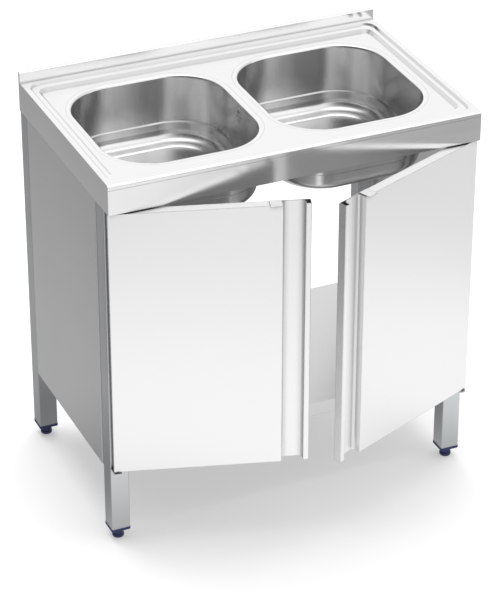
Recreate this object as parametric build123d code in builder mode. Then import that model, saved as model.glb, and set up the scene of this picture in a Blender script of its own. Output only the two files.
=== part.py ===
"""Floor-standing double-bowl sink unit with two hinged doors and four screw feet.

Millimetres, +Z up. The front faces -Y. The origin is on the floor, centred between the sides
and halfway between the backsplash and the foremost corner of the right door, which stands ajar.
Heights are from the floor. Setbacks run from the worktop's front face towards the back, and
insets run from its left or right side towards the middle.
"""
import os
from math import cos, radians, sin

from build123d import *

os.makedirs("parts", exist_ok=True)

# overall size and sheet
WIDTH = 800.0
DEPTH = 500.0
TOP_Z = 840.0
SHEET = 1.0
REST_GAP = 0.3

# worktop pressing
FASCIA_H = 64.0
FASCIA_RETURN = 6.0
FRONT_ROLL_R = 5.0
BEAD_DROP = 10.5
BEAD_W = 1.4
BEAD_DEPTH = 0.5
SPLASH_H = 23.2
SPLASH_T = 8.0
SPLASH_ROLL_R = 2.5
STEP_1_SIDE = 11.5
STEP_1_FRONT = 18.0
STEP_1_BACK = 20.0
STEP_1_SLOPE = 3.5
STEP_1_DROP = 4.0
STEP_1_R = 24.0
STEP_2_SIDE = 24.5
STEP_2_FRONT = 38.0
STEP_2_BACK = 39.0
STEP_2_SLOPE = 6.5
STEP_2_DROP = 6.0
STEP_2_R = 21.0

# bowls
BOWL_SIDE_MARGIN = 54.8
BOWL_REAR_MARGIN = 73.0
BOWL_R = 105.0
BOWL_GAP = 38.4
BOWL_SETBACK = 70.5
BOWL_DEPTH = 144.5
BOWL_LIP = 12.0
BOWL_LIP_R = 5.0
DRAW_STEP_DROP = 103.0
DRAW_STEP_H = 3.0
DRAW_STEP_IN = 3.0
BOWL_FOOT_R = 24.0
DISH_INSET = 32.0
DISH_SLOPE = 4.0
DISH_DROP = 2.5
DRAIN_PRESS_R = 52.0
DRAIN_SEAT_R = 45.0
DRAIN_PRESS_DROP = 6.0
DRAIN_HOLE_R = 30.0

# overflow
OVERFLOW_DROP = 31.0
OVERFLOW_HOLE_R = 2.5
OVERFLOW_PITCH_Y = 9.0
OVERFLOW_PITCH_Z = 9.4
HEAD_W = 50.0
HEAD_H = 46.0
HEAD_T = 17.0
HEAD_R = 8.0
HEAD_WALL = 2.0
SPIGOT_R = 7.0
SPIGOT_BORE_R = 5.0
SPIGOT_L = 12.0
PIPE_R = 8.0
PIPE_BORE_R = 6.0
PIPE_BEND_R = 30.0

# outlets
PLATE_R = 41.0
PLATE_T = 1.5
CUP_R = 27.0
CUP_DEPTH = 8.0
GRID_HOLE_R = 1.6
GRID_RING_R = 18.0
GRID_HOLES = 20
GASKET_T = 2.0
GASKET_R = 42.0
BODY_FLANGE_T = 4.0
BODY_R = 36.0
BODY_WALL = 3.0
BODY_DEPTH = 34.0
BODY_TAPER = 8.0
TAIL_R = 23.9
TAIL_BORE_R = 20.9
TAIL_L = 20.0
INLET_DROP = 22.0
INLET_REACH = 12.0
BRIDGE_DROP = 14.0
BRIDGE_W = 8.0
BRIDGE_H = 8.0
BOSS_R = 6.0
WASTE_SCREW_R = 3.0
WASTE_SCREW_L = 18.0
WASTE_HEAD_R = 6.0
WASTE_HEAD_H = 2.4

# legs, end caps and feet
LEG = 40.0
LEG_WALL = 1.5
LEG_R = 2.5
LEG_SETBACK = 30.5
CAP_FLANGE_T = 6.5
CAP_OVERHANG = 0.7
CAP_PLUG_GAP = 0.2
CAP_PLUG_L = 25.0
CAP_EDGE = 1.2
FOOT_H = 22.5
FOOT_BASE_R = 12.3
FOOT_BASE_H = 8.0
FOOT_BASE_EDGE = 2.5
FOOT_HEX_R = 10.7
FOOT_HEX_H = 11.0
FOOT_NECK_R = 8.0
STEM_R = 5.0
STEM_GAP = 0.1
STEM_L = 42.0

# rails under the worktop
RAIL_T = 15.0
RAIL_H = 30.0
RAIL_WALL = 1.5
RAIL_FRONT_GAP = 2.5
RAIL_SIDE_GAP = 1.4

# side panels
PANEL_Z = 168.5
PANEL_EDGE = 6.0
PANEL_OVERLAP = 6.0
PANEL_RETURN = 12.0

# shelf
SHELF_Z = 205.0
SHELF_LIP = 31.5
SHELF_SETBACK = 56.0
SHELF_REAR_GAP = 5.0
SHELF_SCREW_DROP = 15.0
SHELF_SCREW_IN = 7.0
BRACE_W = 60.0
BRACE_H = 20.0
BRACE_T = 1.5
BRACE_FLANGE = 12.0
BRACE_END_GAP = 30.0

# doors, measured from the hinge-side edge and from the front face
DOOR_Z = 185.7
DOOR_TOP_GAP = 2.0
DOOR_T = 21.0
DOOR_SETBACK = 6.5
DOOR_SIDE_GAP = 1.2
DOOR_MEET_GAP = 6.0
DOOR_SHEET = 1.0
FOLD_R = 1.6
CHANNEL_W = 44.0
CHANNEL_DEPTH = 18.0
CHANNEL_FACE_R = 7.0
CHANNEL_LIP_R = 9.0
LIP_W = 11.3
LIP_SETBACK = 2.2
CORE_GAP = 0.3
LUG_W = 24.0
LUG_EDGE_GAP = 2.0
LUG_OVERHANG = 7.0
LUG_BACK_GAP = 1.0
LUG_T = 1.5
LUG_CORNER_R = 1.0
LEFT_AJAR = 16.9
RIGHT_AJAR = 22.9

# hinges
PIVOT_IN = 8.5
PIVOT_BACK = 4.5
PIN_R = 2.5
PIN_GAP = 0.05
PIN_L = 14.0
PIN_HEAD_R = 4.5
PIN_HEAD_H = 2.5
BUSH_R = 3.4
BUSH_L = 16.0
BUSH_FLANGE_R = 6.5
BUSH_TOP_T = 1.7
BUSH_BOTTOM_T = 3.0
BRACKET_R = 8.0
BRACKET_T = 3.0

# catches
CATCH_PLATE_W = 120.0
CATCH_PLATE_T = 1.5
CATCH_PLATE_EDGE = 4.0
CATCH_W = 24.0
CATCH_H = 10.0
CATCH_EDGE_GAP = 19.0
CATCH_DROP = 3.0
CATCH_CORNER = 1.0
RAIL_SCREW_SPAN = 92.0

# screws
SCREW_R = 2.0
SCREW_GAP = 0.05
SCREW_L = 8.0
SCREW_HEAD_R = 4.0
SCREW_HEAD_H = 2.4
SCREW_HEAD_TAPER = 1.0
SOCKET_R = 1.6
SOCKET_DEPTH = 1.4

# heights and places that follow from the sizes above
FASCIA_Z = TOP_Z - FASCIA_H
PAN_Z = TOP_Z - STEP_1_DROP - STEP_2_DROP
PAN_UNDER_Z = PAN_Z - SHEET
BOWL_W = (WIDTH - BOWL_GAP) / 2 - BOWL_SIDE_MARGIN
BOWL_D = DEPTH - BOWL_SETBACK - BOWL_REAR_MARGIN
BOWL_X = (BOWL_W + BOWL_GAP) / 2
BOWL_FLOOR_Z = PAN_Z - BOWL_DEPTH
DISH_Z = BOWL_FLOOR_Z - DISH_DROP
DRAIN_Z = DISH_Z - DRAIN_PRESS_DROP
OVERFLOW_Z = PAN_Z - OVERFLOW_DROP
HEAD_X = SHEET - BOWL_GAP / 2
HEAD_Z = OVERFLOW_Z - HEAD_H / 2
PIPE_X = HEAD_X + HEAD_T / 2
PIPE_TOP_Z = HEAD_Z - SPIGOT_L
CUP_Z = DRAIN_Z - CUP_DEPTH
GASKET_Z = DRAIN_Z - SHEET - GASKET_T
BODY_FOOT_Z = GASKET_Z - BODY_DEPTH
TAPER_Z = BODY_FOOT_Z - BODY_TAPER
TAIL_Z = TAPER_Z - TAIL_L
INLET_Z = GASKET_Z - INLET_DROP
INLET_END_X = BODY_R + INLET_REACH - BOWL_X
BRIDGE_Z = CUP_Z - BRIDGE_DROP
LEG_Z = FOOT_H + CAP_FLANGE_T
LEG_X = WIDTH / 2 - SHEET - LEG / 2
LEG_INNER_X = LEG_X - LEG / 2
RAIL_Z = PAN_UNDER_Z - RAIL_H
SHELF_SCREW_Z = SHELF_Z - SHELF_SCREW_DROP
DOOR_TOP_Z = FASCIA_Z - DOOR_TOP_GAP
TOP_PLATE_Z = FASCIA_Z + SHEET + REST_GAP
BOTTOM_PLATE_Z = DOOR_Z - BUSH_BOTTOM_T - REST_GAP - BRACKET_T
CATCH_Z = DOOR_TOP_Z - CATCH_DROP - CATCH_H / 2
CATCH_X = (DOOR_MEET_GAP + CATCH_W) / 2 + CATCH_EDGE_GAP
DOOR_W = (WIDTH - DOOR_MEET_GAP) / 2 - DOOR_SIDE_GAP
CHANNEL_END = DOOR_W - LIP_W
CHANNEL_START = CHANNEL_END - CHANNEL_W
PIVOT_X = DOOR_SIDE_GAP + PIVOT_IN - WIDTH / 2
PIVOT_SETBACK = DOOR_SETBACK + PIVOT_BACK

# the right door's free front corner, ahead of the worktop's front face
CORNER_S = DOOR_W - FOLD_R - PIVOT_IN
CORNER_D = LIP_SETBACK + FOLD_R - PIVOT_BACK
CORNER_SWING = CORNER_S * sin(radians(RIGHT_AJAR)) - CORNER_D * cos(radians(RIGHT_AJAR))
DOOR_REACH = CORNER_SWING + FOLD_R - PIVOT_SETBACK
FRONT_Y = (DOOR_REACH - DEPTH) / 2
REAR_Y = FRONT_Y + DEPTH
BOWL_Y = FRONT_Y + BOWL_SETBACK + BOWL_D / 2
PIVOT_Y = FRONT_Y + PIVOT_SETBACK
LEG_FRONT_Y = FRONT_Y + LEG_SETBACK + LEG / 2
LEG_REAR_Y = REAR_Y - SHEET - LEG / 2
FRONT_LEG_BACK_Y = LEG_FRONT_Y + LEG / 2
REAR_LEG_FACE_Y = LEG_REAR_Y - LEG / 2
RAIL_FRONT_Y = FRONT_Y + BOWL_SETBACK - BOWL_LIP - RAIL_FRONT_GAP - RAIL_T / 2
RAIL_FACE_Y = RAIL_FRONT_Y - RAIL_T / 2
RAIL_SIDE_X = BOWL_X + BOWL_W / 2 + BOWL_LIP + RAIL_SIDE_GAP + RAIL_T / 2


def keep(piece, name):
    """Label one finished piece and write it to its own file."""
    piece.label = name
    export_step(piece, f"parts/{name}.step")


def keep_pair(piece, name):
    """Write a left-hand piece and its mirror image on the right."""
    keep(piece, f"{name}_left")
    keep(mirror(piece, about=Plane.YZ), f"{name}_right")


def block(x, y, z, mode=Mode.ADD):
    """Add or cut a box that fills three pairs of limits."""
    with Locations(((x[0] + x[1]) / 2, (y[0] + y[1]) / 2, (z[0] + z[1]) / 2)):
        Box(x[1] - x[0], y[1] - y[0], z[1] - z[0], mode=mode)


def disc(x, y, z, radius, mode=Mode.ADD):
    """Add or cut an upright cylinder between two heights."""
    with Locations((x, y, (z[0] + z[1]) / 2)):
        Cylinder(radius, z[1] - z[0], mode=mode)


def rounded(x, y, z, width, depth, radius):
    """Rounded rectangle that lies at height z, centred on a point."""
    with BuildSketch(Plane.XY.offset(z)) as outline:
        with Locations((x, y)):
            RectangleRounded(width, depth, radius)
    return outline.sketch


def ring(x, y, z, radius):
    """Round outline that lies at height z."""
    with BuildSketch(Plane.XY.offset(z)) as outline:
        with Locations((x, y)):
            Circle(radius)
    return outline.sketch


def bowl_outline(x, z, grow):
    """Outline of a bowl's opening at height z, grown on every side."""
    return rounded(x, BOWL_Y, z, BOWL_W + 2 * grow, BOWL_D + 2 * grow, BOWL_R + grow)


# ---------------------------------------------------------------- worktop


def press_outline(z, side, front, back, radius):
    """Outline of a pressed step, given by its margins on the worktop."""
    middle_y = FRONT_Y + (DEPTH + front - back) / 2
    return rounded(0, middle_y, z, WIDTH - 2 * side, DEPTH - front - back, radius)


def press_step(z, side, front, back, slope, drop, radius):
    """Cut one sloping step into the top of the form, all round."""
    upper = press_outline(z, side, front, back, radius)
    lower = press_outline(z - drop, side + slope, front + slope, back + slope, radius - slope)
    loft([upper, lower], ruled=True, mode=Mode.SUBTRACT)


def worktop_form(skin):
    """Solid form of the worktop, set in by skin on its sides and top."""
    half = WIDTH / 2 - skin
    top = TOP_Z - skin
    with BuildPart() as form:
        block((-half, half), (FRONT_Y + skin, REAR_Y - skin), (FASCIA_Z, top))
        front_edge = form.edges().filter_by(Axis.X).group_by(Axis.Z)[-1].sort_by(Axis.Y)[0]
        fillet(front_edge, FRONT_ROLL_R - skin)
        press_step(
            top, STEP_1_SIDE, STEP_1_FRONT, STEP_1_BACK, STEP_1_SLOPE, STEP_1_DROP, STEP_1_R
        )
        press_step(
            top - STEP_1_DROP,
            STEP_2_SIDE,
            STEP_2_FRONT,
            STEP_2_BACK,
            STEP_2_SLOPE,
            STEP_2_DROP,
            STEP_2_R,
        )
        block(
            (-half, half),
            (REAR_Y - SPLASH_T + skin, REAR_Y - skin),
            (top - STEP_1_DROP, TOP_Z + SPLASH_H - skin),
        )
        hem_edge = form.edges().filter_by(Axis.X).group_by(Axis.Z)[-1].sort_by(Axis.Y)[0]
        fillet(hem_edge, SPLASH_ROLL_R - skin)
    return form.part


worktop_outside = worktop_form(0)
worktop_inside = worktop_form(SHEET)

with BuildPart() as worktop:
    add(worktop_outside)
    add(worktop_inside, mode=Mode.SUBTRACT)
    block(
        (-WIDTH / 2 + SHEET, WIDTH / 2 - SHEET),
        (FRONT_Y + SHEET, FRONT_Y + FASCIA_RETURN),
        (FASCIA_Z, FASCIA_Z + SHEET),
    )
    for x in (-BOWL_X, BOWL_X):
        extrude(bowl_outline(x, PAN_UNDER_Z, BOWL_LIP), amount=SHEET, mode=Mode.SUBTRACT)
    block(
        (-WIDTH / 2, WIDTH / 2),
        (FRONT_Y, FRONT_Y + BEAD_DEPTH),
        (TOP_Z - BEAD_DROP - BEAD_W, TOP_Z - BEAD_DROP),
        mode=Mode.SUBTRACT,
    )
keep(worktop.part, "worktop")

# ---------------------------------------------------------------- bowls


def bowl_form(skin):
    """Solid form of the left bowl's hollow, grown by skin at its wall and floor."""
    step_top = PAN_Z - DRAW_STEP_DROP
    step_foot = step_top - DRAW_STEP_H
    floor = BOWL_FLOOR_Z - skin
    dish = DISH_Z - skin
    drain = DRAIN_Z - skin
    wall = bowl_outline(-BOWL_X, step_top, skin)
    waist = bowl_outline(-BOWL_X, step_foot, skin - DRAW_STEP_IN)
    dish_edge = bowl_outline(-BOWL_X, floor, skin - DISH_INSET)
    dish_floor = bowl_outline(-BOWL_X, dish, skin - DISH_INSET - DISH_SLOPE)
    press_edge = ring(-BOWL_X, BOWL_Y, dish, DRAIN_PRESS_R + skin)
    press_floor = ring(-BOWL_X, BOWL_Y, drain, DRAIN_SEAT_R + skin)
    with BuildPart() as form:
        extrude(bowl_outline(-BOWL_X, floor, skin - DRAW_STEP_IN), amount=step_foot - floor)
        fillet(form.faces().sort_by(Axis.Z)[0].edges(), BOWL_FOOT_R + skin)
        loft([waist, wall], ruled=True)
        extrude(wall, amount=PAN_Z - step_top)
        loft([dish_floor, dish_edge], ruled=True)
        loft([press_floor, press_edge], ruled=True)
    return form.part


bowl_outside = bowl_form(SHEET)
bowl_inside = bowl_form(0)

with BuildPart() as bowl:
    add(bowl_outside)
    extrude(bowl_outline(-BOWL_X, PAN_UNDER_Z, BOWL_LIP), amount=SHEET)
    under_lip = bowl.faces().filter_by(Axis.Z).sort_by(Axis.Z)[-2]
    fillet(under_lip.inner_wires()[0].edges(), BOWL_LIP_R - SHEET)
    add(bowl_inside, mode=Mode.SUBTRACT)
    top_face = bowl.faces().sort_by(Axis.Z)[-1]
    fillet(top_face.inner_wires()[0].edges(), BOWL_LIP_R)
    disc(-BOWL_X, BOWL_Y, (DRAIN_Z - SHEET, DRAIN_Z), DRAIN_HOLE_R, mode=Mode.SUBTRACT)
    for row, count in ((-1, 2), (0, 3), (1, 2)):
        with BuildSketch(Plane.YZ.offset(-BOWL_GAP / 2)):
            with Locations((BOWL_Y, OVERFLOW_Z + row * OVERFLOW_PITCH_Z)):
                with GridLocations(OVERFLOW_PITCH_Y, 1, count, 1):
                    Circle(OVERFLOW_HOLE_R)
        extrude(amount=SHEET, mode=Mode.SUBTRACT)
keep_pair(bowl.part, "bowl")

# collector behind the holes in the bowl's inner wall
with BuildPart() as overflow_head:
    with BuildSketch(Plane.YZ.offset(HEAD_X)):
        with Locations((BOWL_Y, OVERFLOW_Z)):
            RectangleRounded(HEAD_W, HEAD_H, HEAD_R)
    extrude(amount=HEAD_T)
    with BuildSketch(Plane.YZ.offset(HEAD_X)):
        with Locations((BOWL_Y, OVERFLOW_Z)):
            RectangleRounded(HEAD_W - 2 * HEAD_WALL, HEAD_H - 2 * HEAD_WALL, HEAD_R - HEAD_WALL)
    extrude(amount=HEAD_T - HEAD_WALL, mode=Mode.SUBTRACT)
    disc(PIPE_X, BOWL_Y, (PIPE_TOP_Z, HEAD_Z + HEAD_WALL), SPIGOT_R)
    disc(PIPE_X, BOWL_Y, (PIPE_TOP_Z, OVERFLOW_Z), SPIGOT_BORE_R, mode=Mode.SUBTRACT)
keep_pair(overflow_head.part, "overflow_head")

with BuildPart() as overflow_pipe:
    with BuildLine(Plane.XZ.offset(-BOWL_Y)) as pipe_path:
        FilletPolyline(
            (PIPE_X, PIPE_TOP_Z), (PIPE_X, INLET_Z), (INLET_END_X, INLET_Z), radius=PIPE_BEND_R
        )
    with BuildSketch(Plane.XY.offset(PIPE_TOP_Z)):
        with Locations((PIPE_X, BOWL_Y)):
            Circle(PIPE_R)
            Circle(PIPE_BORE_R, mode=Mode.SUBTRACT)
    sweep(path=pipe_path.line)
keep_pair(overflow_pipe.part, "overflow_pipe")

# ---------------------------------------------------------------- outlets


OUTLET_PLANE = Plane(origin=(-BOWL_X, BOWL_Y, 0), x_dir=(1, 0, 0), z_dir=(0, -1, 0))
OUTLET_AXIS = Axis((-BOWL_X, BOWL_Y, 0), (0, 0, 1))


def outlet_profile(tail_radius, cup_radius):
    """Half section of the outlet body: a tail, a taper and a cup."""
    with BuildSketch(OUTLET_PLANE) as section:
        with BuildLine():
            Polyline(
                (0, TAIL_Z),
                (tail_radius, TAIL_Z),
                (tail_radius, TAPER_Z),
                (cup_radius, BODY_FOOT_Z),
                (cup_radius, GASKET_Z),
                (0, GASKET_Z),
                close=True,
            )
        make_face()
    return section.sketch


with BuildPart() as waste_plate:
    disc(-BOWL_X, BOWL_Y, (DRAIN_Z, DRAIN_Z + PLATE_T), PLATE_R)
    fillet(waste_plate.edges().group_by(Axis.Z)[-1], PLATE_T / 2)
    disc(-BOWL_X, BOWL_Y, (CUP_Z, DRAIN_Z), CUP_R)
    disc(
        -BOWL_X, BOWL_Y, (CUP_Z + PLATE_T, DRAIN_Z + PLATE_T), CUP_R - PLATE_T, mode=Mode.SUBTRACT
    )
    with BuildSketch(Plane.XY.offset(CUP_Z)):
        with Locations((-BOWL_X, BOWL_Y)):
            Circle(WASTE_SCREW_R + SCREW_GAP)
            with PolarLocations(GRID_RING_R, GRID_HOLES):
                Circle(GRID_HOLE_R)
    extrude(amount=PLATE_T, mode=Mode.SUBTRACT)
keep_pair(waste_plate.part, "waste_plate")

with BuildPart() as waste_gasket:
    disc(-BOWL_X, BOWL_Y, (GASKET_Z, DRAIN_Z - SHEET), GASKET_R)
    disc(-BOWL_X, BOWL_Y, (GASKET_Z, DRAIN_Z - SHEET), DRAIN_HOLE_R, mode=Mode.SUBTRACT)
keep_pair(waste_gasket.part, "waste_gasket")

with BuildPart() as waste_body:
    revolve(outlet_profile(TAIL_R, BODY_R), axis=OUTLET_AXIS)
    disc(-BOWL_X, BOWL_Y, (GASKET_Z - BODY_FLANGE_T, GASKET_Z), GASKET_R)
    with BuildSketch(Plane.YZ.offset(-BOWL_X)):
        with Locations((BOWL_Y, INLET_Z)):
            Circle(PIPE_R)
    extrude(amount=INLET_END_X + BOWL_X)
    revolve(
        outlet_profile(TAIL_BORE_R, BODY_R - BODY_WALL), axis=OUTLET_AXIS, mode=Mode.SUBTRACT
    )
    with BuildSketch(Plane.YZ.offset(-BOWL_X)):
        with Locations((BOWL_Y, INLET_Z)):
            Circle(PIPE_BORE_R)
    extrude(amount=INLET_END_X + BOWL_X, mode=Mode.SUBTRACT)
    block(
        (-BOWL_X - BRIDGE_W / 2, -BOWL_X + BRIDGE_W / 2),
        (BOWL_Y - BODY_R + BODY_WALL / 2, BOWL_Y + BODY_R - BODY_WALL / 2),
        (BRIDGE_Z, BRIDGE_Z + BRIDGE_H),
    )
    disc(-BOWL_X, BOWL_Y, (BRIDGE_Z, CUP_Z - REST_GAP), BOSS_R)
    disc(-BOWL_X, BOWL_Y, (BRIDGE_Z, CUP_Z), WASTE_SCREW_R + SCREW_GAP, mode=Mode.SUBTRACT)
keep_pair(waste_body.part, "waste_body")


def screw(seat, radius, length, head_radius, head_height):
    """Add a screw: its head stands on the seat plane and its shank runs down from it."""
    with Locations(seat):
        Cylinder(radius, length, align=(Align.CENTER, Align.CENTER, Align.MAX))
        Cone(
            head_radius,
            head_radius - SCREW_HEAD_TAPER,
            head_height,
            align=(Align.CENTER, Align.CENTER, Align.MIN),
        )
    with BuildSketch(seat.offset(head_height)) as socket:
        RegularPolygon(SOCKET_R, 6)
    extrude(socket.sketch, amount=-SOCKET_DEPTH, mode=Mode.SUBTRACT)


with BuildPart() as waste_screws:
    for x in (-BOWL_X, BOWL_X):
        screw(
            Plane(origin=(x, BOWL_Y, CUP_Z + PLATE_T)),
            WASTE_SCREW_R,
            WASTE_SCREW_L,
            WASTE_HEAD_R,
            WASTE_HEAD_H,
        )
keep(waste_screws.part, "waste_screws")

# ---------------------------------------------------------------- frame


def leg_tube(y, screw_y):
    """Square tube of a left leg, with the hole of a shelf screw in its inner wall."""
    with BuildPart() as tube:
        extrude(rounded(-LEG_X, y, LEG_Z, LEG, LEG, LEG_R), amount=PAN_UNDER_Z - LEG_Z)
        bore = LEG - 2 * LEG_WALL
        extrude(
            rounded(-LEG_X, y, LEG_Z, bore, bore, LEG_R - LEG_WALL),
            amount=PAN_UNDER_Z - LEG_Z,
            mode=Mode.SUBTRACT,
        )
        with BuildSketch(Plane.YZ.offset(-LEG_INNER_X)) as hole:
            with Locations((screw_y, SHELF_SCREW_Z)):
                Circle(SCREW_R + SCREW_GAP)
        extrude(hole.sketch, amount=-LEG_WALL, mode=Mode.SUBTRACT)
    return tube.part


def end_cap(y):
    """Square cap in the foot of a left leg, bored for the foot's stem."""
    flange = LEG + 2 * CAP_OVERHANG
    plug = LEG - 2 * LEG_WALL - 2 * CAP_PLUG_GAP
    with BuildPart() as cap:
        extrude(
            rounded(-LEG_X, y, FOOT_H, flange, flange, LEG_R + CAP_OVERHANG), amount=CAP_FLANGE_T
        )
        chamfer(cap.edges().group_by(Axis.Z)[0], CAP_EDGE)
        extrude(
            rounded(-LEG_X, y, LEG_Z, plug, plug, LEG_R - LEG_WALL - CAP_PLUG_GAP),
            amount=CAP_PLUG_L,
        )
        disc(-LEG_X, y, (FOOT_H, LEG_Z + CAP_PLUG_L), STEM_R + STEM_GAP, mode=Mode.SUBTRACT)
    return cap.part


def screw_foot(y):
    """Adjustable foot under a left leg: round base, hexagonal grip, neck and stem."""
    hex_z = FOOT_BASE_H + FOOT_HEX_H
    with BuildPart() as foot:
        disc(-LEG_X, y, (0, FOOT_BASE_H), FOOT_BASE_R)
        chamfer(foot.edges().group_by(Axis.Z)[0], FOOT_BASE_EDGE)
        with BuildSketch(Plane.XY.offset(FOOT_BASE_H)) as grip:
            with Locations((-LEG_X, y)):
                RegularPolygon(FOOT_HEX_R, 6, major_radius=False)
        extrude(grip.sketch, amount=FOOT_HEX_H)
        disc(-LEG_X, y, (hex_z, FOOT_H - REST_GAP), FOOT_NECK_R)
        disc(-LEG_X, y, (hex_z, FOOT_H + STEM_L), STEM_R)
    return foot.part


for place, leg_y, screw_y in (
    ("front", LEG_FRONT_Y, FRONT_LEG_BACK_Y - SHELF_SCREW_IN),
    ("rear", LEG_REAR_Y, REAR_LEG_FACE_Y + SHELF_SCREW_IN),
):
    keep_pair(leg_tube(leg_y, screw_y), f"leg_{place}")
    keep_pair(end_cap(leg_y), f"insert_{place}")
    keep_pair(screw_foot(leg_y), f"foot_{place}")

for place, rail_y in (("front", RAIL_FRONT_Y), ("rear", LEG_REAR_Y)):
    with BuildPart() as cross_rail:
        for size, cut in ((0, Mode.ADD), (RAIL_WALL, Mode.SUBTRACT)):
            block(
                (-LEG_INNER_X, LEG_INNER_X),
                (rail_y - RAIL_T / 2 + size, rail_y + RAIL_T / 2 - size),
                (RAIL_Z + size, PAN_UNDER_Z - size),
                mode=cut,
            )
        if place == "front":
            with BuildSketch(Plane.XZ.offset(RAIL_T / 2 - rail_y)):
                with Locations((0, RAIL_Z + RAIL_H / 2)):
                    with GridLocations(RAIL_SCREW_SPAN, 1, 2, 1):
                        Circle(SCREW_R + SCREW_GAP)
            extrude(amount=-RAIL_WALL, mode=Mode.SUBTRACT)
    keep(cross_rail.part, f"rail_{place}")

with BuildPart() as side_rail:
    for size, cut in ((0, Mode.ADD), (RAIL_WALL, Mode.SUBTRACT)):
        block(
            (-RAIL_SIDE_X - RAIL_T / 2 + size, -RAIL_SIDE_X + RAIL_T / 2 - size),
            (FRONT_LEG_BACK_Y, REAR_LEG_FACE_Y),
            (RAIL_Z + size, PAN_UNDER_Z - size),
            mode=cut,
        )
keep_pair(side_rail.part, "rail")

# ---------------------------------------------------------------- sides and shelf

with BuildPart() as side_panel:
    block(
        (-WIDTH / 2, SHEET - WIDTH / 2),
        (FRONT_LEG_BACK_Y + PANEL_EDGE, REAR_LEG_FACE_Y - PANEL_EDGE),
        (PANEL_Z, FASCIA_Z),
    )
    for start, end in (
        (FRONT_LEG_BACK_Y, FRONT_LEG_BACK_Y + PANEL_EDGE + PANEL_OVERLAP),
        (REAR_LEG_FACE_Y - PANEL_EDGE - PANEL_OVERLAP, REAR_LEG_FACE_Y),
    ):
        block((SHEET - WIDTH / 2, 2 * SHEET - WIDTH / 2), (start, end), (PANEL_Z, FASCIA_Z))
    for start in (FRONT_LEG_BACK_Y, REAR_LEG_FACE_Y - SHEET):
        block(
            (SHEET - WIDTH / 2, PANEL_RETURN - WIDTH / 2),
            (start, start + SHEET),
            (PANEL_Z, FASCIA_Z),
        )
    for start in (PANEL_Z, FASCIA_Z - SHEET):
        block(
            (SHEET - WIDTH / 2, PANEL_RETURN - WIDTH / 2),
            (FRONT_LEG_BACK_Y, REAR_LEG_FACE_Y),
            (start, start + SHEET),
        )
keep_pair(side_panel.part, "side_panel")


def tray_outline(z, skin):
    """Outline of the shelf with its corners cut out round the legs, set in by skin."""
    side = WIDTH / 2 - 2 * SHEET - REST_GAP - skin
    inner = LEG_INNER_X - REST_GAP - skin
    front = FRONT_Y + SHELF_SETBACK + skin
    back = REAR_Y - SHELF_REAR_GAP - skin
    front_notch = FRONT_LEG_BACK_Y + SHEET + REST_GAP + skin
    back_notch = REAR_LEG_FACE_Y - SHEET - REST_GAP - skin
    with BuildSketch(Plane.XY.offset(z)) as outline:
        with Locations((0, (front_notch + back_notch) / 2)):
            Rectangle(2 * side, back_notch - front_notch)
        with Locations((0, (front + back) / 2)):
            Rectangle(2 * inner, back - front)
    return outline.sketch


with BuildPart() as shelf_tray:
    extrude(tray_outline(SHELF_Z - SHELF_LIP, 0), amount=SHELF_LIP)
    extrude(
        tray_outline(SHELF_Z - SHELF_LIP, SHEET), amount=SHELF_LIP - SHEET, mode=Mode.SUBTRACT
    )
    with BuildSketch(Plane.YZ.offset(REST_GAP - LEG_INNER_X)):
        with Locations(
            (FRONT_LEG_BACK_Y - SHELF_SCREW_IN, SHELF_SCREW_Z),
            (REAR_LEG_FACE_Y + SHELF_SCREW_IN, SHELF_SCREW_Z),
        ):
            Circle(SCREW_R + SCREW_GAP)
    extrude(amount=2 * (LEG_INNER_X - REST_GAP), mode=Mode.SUBTRACT)
keep(shelf_tray.part, "shelf_tray")

with BuildPart() as shelf_brace:
    half_l = WIDTH / 2 - BRACE_END_GAP
    middle_y = (FRONT_LEG_BACK_Y + REAR_LEG_FACE_Y) / 2
    top_z = SHELF_Z - SHEET
    block(
        (-half_l, half_l),
        (middle_y - BRACE_W / 2, middle_y + BRACE_W / 2),
        (top_z - BRACE_H, top_z),
    )
    block(
        (-half_l, half_l),
        (middle_y - BRACE_W / 2 + BRACE_T, middle_y + BRACE_W / 2 - BRACE_T),
        (top_z - BRACE_H + BRACE_T, top_z),
        mode=Mode.SUBTRACT,
    )
    for start in (middle_y - BRACE_W / 2 - BRACE_FLANGE, middle_y + BRACE_W / 2):
        block((-half_l, half_l), (start, start + BRACE_FLANGE), (top_z - BRACE_T, top_z))
keep(shelf_brace.part, "shelf_brace")

with BuildPart() as shelf_screws:
    for side in (-1, 1):
        for y in (FRONT_LEG_BACK_Y - SHELF_SCREW_IN, REAR_LEG_FACE_Y + SHELF_SCREW_IN):
            seat = Plane(
                origin=(side * (LEG_INNER_X - REST_GAP - SHEET), y, SHELF_SCREW_Z),
                x_dir=(0, 1, 0),
                z_dir=(-side, 0, 0),
            )
            screw(seat, SCREW_R, SCREW_L, SCREW_HEAD_R, SCREW_HEAD_H)
keep(shelf_screws.part, "shelf_screws")

# ---------------------------------------------------------------- doors


def door_plane(hand, z):
    """Level plane at a door's pivot, with its x axis from the hinge to the free edge."""
    swing = radians(LEFT_AJAR if hand > 0 else RIGHT_AJAR)
    return Plane(
        origin=(hand * PIVOT_X, PIVOT_Y, z),
        x_dir=(hand * cos(swing), -sin(swing), 0),
        z_dir=(0, 0, 1),
    )


def on_door(hand, along, behind):
    """Point on a door plane, by distance from the hinge-side edge and the front face."""
    return (along - PIVOT_IN, hand * (behind - PIVOT_BACK))


def door_rectangle(hand, z, along, behind):
    """Rectangle on a door plane between two pairs of limits."""
    with BuildSketch(door_plane(hand, z)) as outline:
        with Locations(on_door(hand, sum(along) / 2, sum(behind) / 2)):
            Rectangle(along[1] - along[0], behind[1] - behind[0])
    return outline.sketch


def door_ring(hand, z, radius):
    """Circle round a door's pivot."""
    with BuildSketch(door_plane(hand, z)) as outline:
        Circle(radius)
    return outline.sketch


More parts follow.
